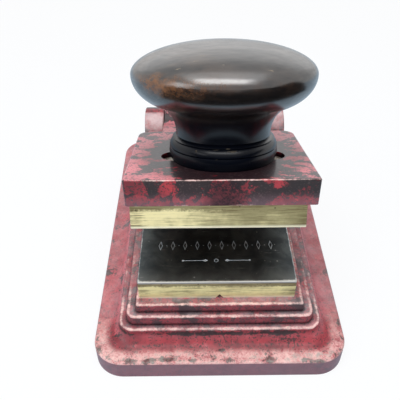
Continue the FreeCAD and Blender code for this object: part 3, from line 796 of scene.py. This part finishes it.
upper_brass = brass(
    "brass_of_the_arm",
    node="upper_die_block",
    laid=True,
    clean=paint(240, 227, 174),
    metallic=0.6,
    shade_to_right=0.28,
)
lower_brass = brass(
    "brass_of_the_base",
    node="lower_die_block",
    laid=False,
    clean=paint(236, 228, 168),
    metallic=0.3,
    shade_to_right=0.1,
)
print("made", upper_brass, "and", lower_brass)

# %% [markdown]
# ## The blued plate of the lower die
#
# The thin plate on the lower block is steel, blued almost black and cut with a fine design.  It is
# bright where its edges have been touched, and pale in the bottom of each cut.  The design could be
# drawn by the finish, but it is real relief in the CAD model.  So the finish only asks how far a
# point lies under the plate's face, and colours the cuts by that.

# %% Steel colours of the plate
BLUED = paint(66, 71, 74)
SMEARED_BLUE = paint(94, 100, 100)
SCRATCHED = paint(176, 178, 174)
# Lighter steel at the front of the plate, a painted reflection.
FRONT_SHEEN_STEEL = paint(150, 153, 149)
BRIGHT_EDGE = paint(204, 204, 198)
CUT_STEEL = paint(226, 234, 240)
PLATE_DUST = paint(214, 214, 208)
print("blued steel is", [round(value, 3) for value in BLUED[:3]])


# %% The blued plate
def blued_plate():
    """Blued steel with smears and scratches, bright ragged edges and pale cuts."""
    low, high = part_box("lower_die_face")
    middle = (low + high) / 2
    half = (high - low) / 2
    finish = Finish("blued_die_plate")
    edge = larger(abs(finish.x - middle.x) - half.x, abs(finish.y - middle.y) - half.y)
    forward = middle.y - finish.y
    ragged = finish.noise(1.3 * MM, seed=6.6, detail=4, roughness=0.7)
    wide = finish.noise(7 * MM, seed=2.1)
    smears = finish.noise(8 * MM, seed=1.9, detail=4, swirl=0.6)
    scratches = finish.noise(0.4 * MM, seed=4.1, place=finish.drawn_out(18, 2, 1))
    large_dust = finish.flecks(1.1 * MM, seed=8.8, share=0.04)
    small_dust = finish.flecks(0.7 * MM, seed=3.6, share=0.03)
    dust = larger(large_dust, small_dust)

    # The blue is rubbed off along an uneven edge, and furthest in at the front.
    to_front = forward.rise(half.y - 2 * MM, half.y - 1 * MM)
    unevenness = ragged * 1.2 + wide - 1.35 + to_front * 0.5
    bright = (edge + unevenness * MM).rise(-0.7 * MM, -0.1 * MM)
    bright = bright * (0.5 + finish.up.rise(0.2, 0.9) * 0.5)
    # Painted reflection: the plate lighter towards its front.
    front_sheen = forward.rise(half.y - 9 * MM, half.y) * (0.4 + wide)
    cut = (finish.z - high.z).rise(-0.04 * MM, -0.12 * MM) * edge.rise(-0.8 * MM, -1.4 * MM)

    colour = finish.mix(smears.rise(0.35, 0.7), BLUED, SMEARED_BLUE)
    colour = finish.mix(scratches.rise(0.62, 0.78) * 0.6, colour, SCRATCHED)
    colour = finish.mix(front_sheen * 0.38, colour, FRONT_SHEEN_STEEL)
    colour = finish.mix(bright, colour, BRIGHT_EDGE)
    colour = finish.mix(cut * 0.9, colour, CUT_STEEL)
    colour = finish.mix(dust * 0.6, colour, PLATE_DUST)
    finish.set(
        Base_Color=colour,
        Metallic=1.0 - cut * 0.6,
        Roughness=0.3 + smears * 0.1 + scratches * 0.1 + cut * 0.15 + dust * 0.3,
        Normal=finish.bump(scratches * 0.4 + smears * 0.4 - ragged * bright, 0.04 * MM, 0.6),
    )
    return finish


die_plate = blued_plate()
print("made", die_plate)

# %% [markdown]
# ## Screws, pins and spring
#
# The screws and pins are plain turned steel, and the spring is blued strip.  A bare grey metal
# would do from afar, but close up it looks like a mirror.  A little stain and fine tool marks break
# that up, and one recipe with two pairs of colours serves both.


# %% Steel
def steel(name, clean, stained):
    """Steel with a little stain and fine tool marks."""
    finish = Finish(name, Metallic=1.0)
    stain = finish.noise(2.2 * MM, seed=5.1, detail=4, roughness=0.65).rise(0.4, 0.7)
    tool_marks = finish.noise(0.3 * MM, seed=2.2, detail=2)
    finish.set(
        Base_Color=finish.mix(stain, clean, stained),
        Roughness=0.3 + stain * 0.25 + tool_marks * 0.08,
        Normal=finish.bump(tool_marks + stain * 0.5, 0.02 * MM, 0.5),
    )
    return finish


screw_steel = steel("turned_steel", clean=paint(176, 172, 162), stained=paint(92, 78, 66))
spring_steel = steel("blued_spring", clean=paint(74, 84, 110), stained=paint(48, 44, 52))
print("made", screw_steel, "and", spring_steel)

# %% [markdown]
# ## The counter
#
# The counter is a thin sheet of leather board under the upper die, soft enough to take the seal's
# relief.  A hide's grain could be drawn on it, but leather board is pulp, with only fine pores.  So
# one small noise for the pores and a broad one for the colour are enough.


# %% Leather board
def leather_board():
    """Brown pressed leather pulp, cloudy and finely pored."""
    finish = Finish("leather_board")
    pores = finish.noise(0.5 * MM, seed=1.1, detail=4, roughness=0.7)
    clouds = finish.noise(7 * MM, seed=4.8)
    finish.set(
        Base_Color=finish.mix(clouds.rise(0.3, 0.7), paint(96, 66, 42), paint(132, 96, 62)),
        Roughness=0.62 + pores * 0.2,
        Normal=finish.bump(pores + clouds * 0.4, 0.08 * MM, 0.7),
    )
    return finish


counter_board = leather_board()
print("made", counter_board)

# %% [markdown]
# ## The ebonised knob
#
# The knob is a hardwood turning, stained black and polished.  A palm has pressed it for years, so
# the stain has rubbed through to brown in crumbly patches on the front of its cap, most of all at
# the left, and fine pale scratches cross its top.  The neck, which no palm reaches, is a bluish
# black, a painted reflection of the bluish floor, and its polish is dull at the foot.
#
# One glossy black would mirror the lamps evenly, like plastic.  Here the polish is a clear coat
# over a dull stain, and the weight of that coat changes with the grain, the wear and the height.

# %% Colours of the stained wood
# Bluish black of the neck, a painted reflection of the bluish floor.
NECK_BLACK_AND_BLUE_SHEEN = paint(6, 9, 18)
CAP_BLACK = paint(9, 8, 10)
GRAIN_BLACK = paint(26, 20, 17)
THIN_STAIN = paint(60, 43, 29)
DARK_WOOD = paint(80, 50, 36)
PALE_WOOD = paint(126, 84, 53)
SCRATCHED_POLISH = paint(150, 138, 118)
print("bare wood is", [round(value, 3) for value in PALE_WOOD[:3]])

# %% Heights on the knob, over the plate
mouldings_top = 9 * MM
cap_bottom = 20 * MM
palm_height = 31 * MM
print("the knob is", in_mm(knob_high.z - plate_top), "mm tall, rubbed", in_mm(palm_height), "mm up")


# %% Ebonised wood
def ebonised():
    """Black stain, rubbed to brown at the front of the cap, under polish of uneven weight."""
    finish = Finish(
        "ebonised_turning",
        laid=True,
        Specular_IOR_Level=0.0,
        Coat_Roughness=0.24,
        Coat_IOR=1.9,
    )
    over_plate = finish.z - plate_top
    to_right = finish.x - knob_axis.x
    to_left = (knob_axis.x - finish.x).rise(-10 * MM, 26 * MM)
    to_front = (knob_axis.y - finish.y).rise(4 * MM, 24 * MM)
    cap = over_plate.rise(cap_bottom - 5 * MM, cap_bottom)
    grain = finish.noise(0.8 * MM, seed=2.7, detail=4, place=finish.drawn_out(9, 2, 1))
    turned = finish.noise(0.6 * MM, seed=3.8, detail=2, place=finish.drawn_out(30, 30, 1))
    clouds = finish.noise(11 * MM, seed=9.3, detail=4)
    crumbs = finish.noise(1.6 * MM, seed=5.9, detail=3, roughness=0.7)
    streaks = finish.noise(2.6 * MM, seed=7.7, detail=4, place=finish.drawn_out(5, 1.4, 1))

    # The stain, and where the palm has rubbed it.
    palm = near(over_plate - palm_height, 8 * MM) * to_front * (0.55 + to_left * 0.45)
    rubbed = (clouds * 0.25 + crumbs * 0.45 + streaks * 0.3 + palm * 0.3).rise(0.62, 0.9)
    rubbed = rubbed * (0.1 + palm * 0.9)
    brown = cap * (streaks * 0.6 + clouds * 0.4).rise(0.42, 0.62)
    black = finish.mix(grain.rise(0.35, 0.7), CAP_BLACK, GRAIN_BLACK)
    stain = finish.mix(cap, NECK_BLACK_AND_BLUE_SHEEN, black)
    stain = finish.mix(brown * (0.25 + to_left * 0.5), stain, THIN_STAIN)
    colour = finish.mix(rubbed * 0.9, stain, finish.mix(to_left, DARK_WOOD, PALE_WOOD))

    # Scratches across the top, and nicks in the cap.
    fine_lines = finish.noise(0.45 * MM, seed=1.4, detail=2, place=finish.drawn_out(14, 2.5, 2.5))
    scratches = fine_lines.rise(0.66, 0.74) * finish.up.rise(0.3, 0.8)
    nicks = cap * finish.flecks(1.1 * MM, seed=6.4, share=0.035, place=finish.drawn_out(2.4))
    colour = finish.mix(larger(scratches * 0.45, nicks * 0.5), colour, SCRATCHED_POLISH)

    # The polish: dull at the foot, better on the neck's sides and best on the cap.
    foot = over_plate.rise(mouldings_top, mouldings_top - 3 * MM)
    at_sides = abs(to_right).rise(9 * MM, 17 * MM)
    at_right = to_right.rise(8 * MM, 16 * MM)
    neck_polish = 0.3 - foot * 0.2 + at_sides * 0.2 + at_right * 0.3
    cap_polish = 0.53 + streaks * 0.4 + grain * 0.35 + turned * 0.2
    polish = neck_polish * (1 - cap) + cap_polish * cap
    relief = grain * 0.5 + turned * 0.6 + streaks * 0.6 + crumbs * 0.2
    finish.set(
        Base_Color=colour,
        Roughness=0.5 + crumbs * 0.1,
        Coat_Weight=(polish - rubbed * 0.6 - scratches * 0.3).at_least(0.05),
        Normal=finish.bump(relief, 0.09 * MM, 0.55),
    )
    return finish


knob_finish = ebonised()
print("made", knob_finish)

# %% [markdown]
# ## The return spring
#
# The hairpin spring between base and arm is drawn in the CAD model at its open shape, with sharp
# edges.  Strip stock has rolled edges that catch a line of light.  It could be drawn again along
# its bends, but then it might miss its clamp.  So the spring is made from the same solid: its flat
# facets are joined, and every sharp edge gets a small round.


# %% The spring's strip
def rolled_strip(node, edge_round):
    """Copy of a node with its coplanar facets joined and its sharp edges rounded."""
    same_place = 0.001 * MM
    same_plane = math.radians(0.5)
    sharp_bend = math.radians(40)
    strip = bmesh.new()
    strip.from_mesh(nodes[node].data)
    bmesh.ops.remove_doubles(strip, verts=strip.verts, dist=same_place)
    bmesh.ops.dissolve_limit(
        strip, angle_limit=same_plane, verts=strip.verts, edges=strip.edges
    )
    bmesh.ops.bevel(
        strip,
        geom=[edge for edge in strip.edges if edge.calc_face_angle(0) > sharp_bend],
        offset=edge_round,
        offset_type="OFFSET",
        segments=3,
        profile=0.5,
        affect="EDGES",
        clamp_overlap=True,
    )
    mesh = bpy.data.meshes.new(node + "_strip")
    strip.to_mesh(mesh)
    strip.free()
    mesh.shade_smooth()
    mesh.set_sharp_from_angle(angle=math.radians(35))
    return mesh


spring_mesh = rolled_strip("leaf_spring", edge_round=0.2 * MM)
spring_mesh.materials.append(spring_steel.material)
spring = add_object("return_spring", spring_mesh)
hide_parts("leaf_spring")
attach(spring, "base")
print("spring has", len(spring_mesh.polygons), "faces")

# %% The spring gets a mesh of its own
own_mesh(spring)

# %% [markdown]
# ## Dressing the frame
#
# Each CAD node keeps its exact shape and gets its finish in the material slots that it came with.
# The finishes could be given out one by one, but half of the nodes are screws, pins and other small
# steel parts.  So a list names the rest, and every node that isn't on it gets the screws' steel.

# %% Give every node its finish
finish_of = {
    "base_casting": base_enamel,
    "arm_casting": arm_enamel,
    "upper_die_block": upper_brass,
    "lower_die_block": lower_brass,
    "hinge_bush_left": upper_brass,
    "hinge_bush_right": upper_brass,
    "knob_insert": upper_brass,
    "lower_die_face": die_plate,
    "leaf_spring": spring_steel,
    "counter_pad": counter_board,
    "knob": knob_finish,
}
for name, node in nodes.items():
    finish = finish_of.get(name, screw_steel)
    for slot in node.material_slots:
        slot.material = finish.material
print("finishes given to", len(nodes), "nodes")

# %% [markdown]
# ## The sheet that it stands on
#
# The embosser stands on a plain white sheet.  Lamps bright enough to turn the sheet white would
# bleach the embosser.  So the sheet mixes a glow into its paper that only the camera, mirrors and
# glass see, and everything else is lit by the paper alone.  Near the middle a little paper stays in
# the mix, for the embosser's shadow.  In reflections that part looks faintly blue, as paper under a
# window does.


# %% White paper
def white_sheet():
    """Paper that is looked at as plain white, with a faint shadow and blue reflections."""
    finish = Finish("white_sheet", Roughness=0.9)
    fibres = finish.noise(20 * MM, seed=1.0)
    finish.set(Base_Color=finish.mix(fibres, paint(220, 229, 242), paint(226, 234, 244)))
    sheet = Wire(finish, finish.shader.outputs[0])

    away = distance(finish.x, finish.y)
    camera_ray = finish.node("LightPath")
    glossy_ray = camera_ray.twin("Is Glossy Ray")
    glass_ray = camera_ray.twin("Is Transmission Ray")
    seen = larger(camera_ray, glossy_ray, glass_ray)
    seen = seen * (0.88 + away.rise(150 * MM, 900 * MM) * 0.12)
    plain = larger(camera_ray, away.rise(200 * MM, 700 * MM))
    tint = finish.mix(plain, paint(206, 231, 250), WHITE)
    glow = finish.node("Emission", {}, {"Color": tint, "Strength": 1.0})
    surface = finish.node("MixShader", {}, {0: seen, 1: sheet, 2: glow})
    finish.feed(finish.tree.nodes["Material Output"].inputs["Surface"], surface)
    return finish


sheet_finish = white_sheet()
print("made", sheet_finish)


# %% Floor
def make_floor(finish, half_size):
    """Square floor around the origin."""
    mesh = bpy.data.meshes.new("floor")
    square = bmesh.new()
    bmesh.ops.create_grid(square, x_segments=1, y_segments=1, size=half_size)
    square.to_mesh(mesh)
    square.free()
    mesh.materials.append(finish.material)
    floor = add_object("floor", mesh)


make_floor(sheet_finish, half_size=3.0)
print("floor laid")

# %% [markdown]
# ## World and lamps
#
# A bench by a window lights such a thing softly from all over.  One big lamp would leave the dies
# dark, and a bright world would wash out the shadows.  So the world gives a weak fill, a broad lamp
# overhead lights it all, a brighter one over the front makes the long glow on the knob, and weaker
# ones behind and at the left open the shadows.


# %% World
def make_world(fill, background):
    """White where it is looked at or mirrored, and a weaker fill for everything else."""
    world = bpy.data.worlds.new("studio")
    scene.world = world
    world.use_nodes = True
    web = Web(world.node_tree)
    camera_ray = web.node("LightPath")
    seen = larger(camera_ray, camera_ray.twin("Is Glossy Ray"))
    sky = web.tree.nodes["Background"]
    web.feed(sky.inputs["Color"], WHITE)
    web.feed(sky.inputs["Strength"], seen * (background - fill) + fill)


make_world(fill=0.16, background=1.0)
print("world made")

# %% Lamps
# Energy for each square metre at which an area lamp's face is as bright as white paper.
WHITE_ENERGY = 4.0


def soft_lamp(name, place, aim, width, depth, glow):
    """Rectangular lamp whose face is glow times as bright as white paper."""
    lamp = bpy.data.lights.new(name, "AREA")
    lamp.shape = "RECTANGLE"
    lamp.size = width
    lamp.size_y = depth
    lamp.energy = glow * WHITE_ENERGY * width * depth
    holder = add_object(name, lamp)
    holder.location = place
    holder.rotation_mode = "QUATERNION"
    holder.rotation_quaternion = (aim - Vector(place)).to_track_quat("-Z", "Y")
    print("lamp", name, "at", place)


middle = (cad_box[0] + cad_box[1]) / 2
soft_lamp("overhead", (0.0, -0.15, 0.9), middle, width=1.1, depth=1.1, glow=1.02)
soft_lamp("over_the_front", (-0.04, -0.28, 0.88), middle, width=0.8, depth=0.42, glow=4.2)
soft_lamp("behind", (0.0, 1.3, 0.5), middle, width=2.4, depth=0.8, glow=0.4)
soft_lamp("left", (-0.8, -0.5, 0.5), middle, width=0.5, depth=0.5, glow=2.4)

# %% [markdown]
# ## A dark card for the knob
#
# A polished black turning shows its roundness by what it mirrors.  With a white room all round, the
# knob would look flat and grey.  A shadow painted into its finish would stay put as the arm moves.
# So a dark card is bent around the knob's front, as for silver on a table.  Only reflections see
# it, and it gives the knob a deep band.


# %% The bent card
def bent_card(near_edge, far_edge, left, right, upturn, steps=24):
    """Strip between two (radius, height) edges about the knob, turned up towards its ends.

    It reaches from the left to the right bearing, in degrees from straight ahead of the knob.
    """
    bearings = [math.radians(left + (right - left) * step / steps) for step in range(steps + 1)]
    knob_y = sum(corner.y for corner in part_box("knob")) / 2
    corners = [
        (
            knob_axis.x + radius * math.sin(bearing),
            knob_y - radius * math.cos(bearing),
            height + upturn * (1 - math.cos(bearing)),
        )
        for bearing in bearings
        for radius, height in (near_edge, far_edge)
    ]
    faces = [(2 * step, 2 * step + 1, 2 * step + 3, 2 * step + 2) for step in range(steps)]
    mesh = bpy.data.meshes.new("dark_card")
    mesh.from_pydata(corners, [], faces)
    flock = Finish("black_flock", Roughness=1.0, Base_Color=(0.005, 0.005, 0.005, 1.0))
    mesh.materials.append(flock.material)
    card = add_object("dark_card", mesh)
    card.visible_camera = False
    card.visible_diffuse = False
    card.visible_shadow = False
    print("card of", len(faces), "strips")


bent_card(
    near_edge=(46 * MM, 78 * MM),
    far_edge=(100 * MM, 111 * MM),
    left=-58,
    right=75,
    upturn=18 * MM,
)

# %% [markdown]
# ## Camera
#
# The camera looks down at the embosser from the front, as someone does who is about to press it.
# It could be aimed at a point, but three angles say more: how far it looks down, how far it turns
# to the right, and how far it leans to one side.


# %% Camera
def make_camera(place, lens, pitch, yaw, roll):
    """Camera turned by degrees: up, then to the right, then with its right side lifted."""
    pitch, yaw, roll = (math.radians(angle) for angle in (pitch, yaw, roll))
    flat_ahead = Vector((math.sin(yaw), math.cos(yaw), 0))
    ahead = flat_ahead * math.cos(pitch) + Vector((0, 0, math.sin(pitch)))
    level = Vector((math.cos(yaw), -math.sin(yaw), 0))
    upward = level.cross(ahead)
    right = level * math.cos(roll) + upward * math.sin(roll)
    above = upward * math.cos(roll) - level * math.sin(roll)

    data = bpy.data.cameras.new("camera")
    data.sensor_width = 36.0
    data.lens = lens
    data.clip_start = 10 * MM
    camera = add_object("camera", data)
    camera.location = place
    camera.rotation_mode = "QUATERNION"
    camera.rotation_quaternion = Matrix((right, above, -ahead)).transposed().to_quaternion()
    return camera


scene.camera = make_camera(
    place=(-8.145 * MM, -190.0 * MM, 188.8 * MM),
    lens=47.7,
    pitch=-40.489,
    yaw=0.282,
    roll=-0.343,
)
scene.view_settings.view_transform = "Standard"
print("camera stands", in_mm(scene.camera.location.z), "mm up")

# %% [markdown]
# ## Size
#
# Finishes must not change the size of the thing, and the rounded spring must stay inside it.
